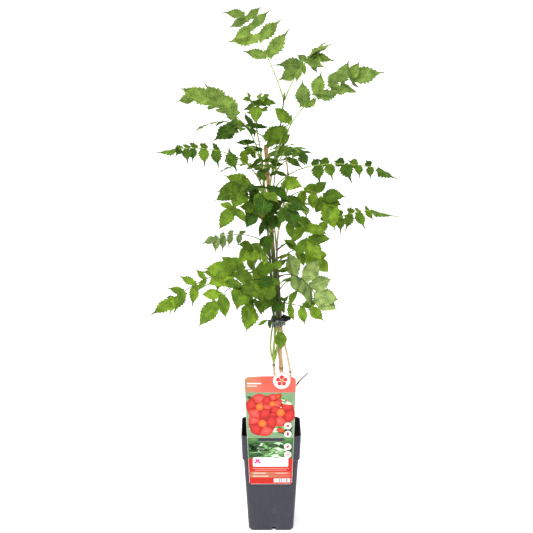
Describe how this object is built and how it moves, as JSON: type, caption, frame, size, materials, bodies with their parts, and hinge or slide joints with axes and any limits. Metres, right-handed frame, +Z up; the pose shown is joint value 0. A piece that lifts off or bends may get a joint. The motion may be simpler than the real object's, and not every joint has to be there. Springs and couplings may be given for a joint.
{
  "type": "potted trumpet vine",
  "caption": "Young climbing trumpet vine with toothed pinnate leaves, tied to a bamboo cane in a square tapered nursery pot with a hook-on plant label.",
  "frame": {"origin": "middle of the pot's underside", "axes": "+Z up the cane, -Y out of the pot's front, which carries the label, +X to the right of the label as it is read"},
  "size_m": [0.4624, 0.2611, 0.9643],
  "materials": {
    "pot": "satin",
    "soil": "matte",
    "label": "satin",
    "cane": "satin",
    "ties": "satin",
    "old_wood": "matte",
    "shoots": "satin",
    "leaves": "satin"
  },
  "bodies": {
    "root": {"bamboo_cane": "cane", "dead_twig": "old_wood", "frond_back_high": "leaves", "frond_back_left_small": "leaves", "frond_back_low": "leaves", "frond_back_low_right": "leaves", "frond_back_mid": "leaves", "frond_back_right": "leaves", "frond_basal_leaf": "leaves", "frond_big_left": "leaves", "frond_big_left_low": "leaves", "frond_centre_front": "leaves", "frond_centre_high": "leaves", "frond_centre_left": "leaves", "frond_centre_low": "leaves", "frond_centre_mid": "leaves", "frond_centre_right": "leaves", "frond_centre_up": "leaves", "frond_front_left": "leaves", "frond_front_low": "leaves", "frond_front_right_high": "leaves", "frond_inner_left": "leaves", "frond_left_grey": "leaves", "frond_left_mid": "leaves", "frond_left_wide": "leaves", "frond_long_left": "leaves", "frond_long_right": "leaves", "frond_low_left_front": "leaves", "frond_low_left_long": "leaves", "frond_low_left_short": "leaves", "frond_mid_right": "leaves", "frond_right_bright": "leaves", "frond_right_droop": "leaves", "frond_right_far": "leaves", "frond_right_low_back": "leaves", "frond_right_lowest": "leaves", "frond_right_mid": "leaves", "frond_right_turned": "leaves", "frond_small_right": "leaves", "frond_thin_front": "leaves", "frond_thin_left": "leaves", "frond_top_left": "leaves", "frond_top_right": "leaves", "frond_upper_left": "leaves", "frond_upper_right": "leaves", "frond_young_front": "leaves", "frond_young_left": "leaves", "frond_young_right": "leaves", "green_shoots": "shoots", "label": "label", "pot": "pot", "pruned_stem": "old_wood", "soil": "soil", "tie_1": "ties", "tie_2": "ties", "woody_stump": "old_wood"}
  },
  "joints": []
}
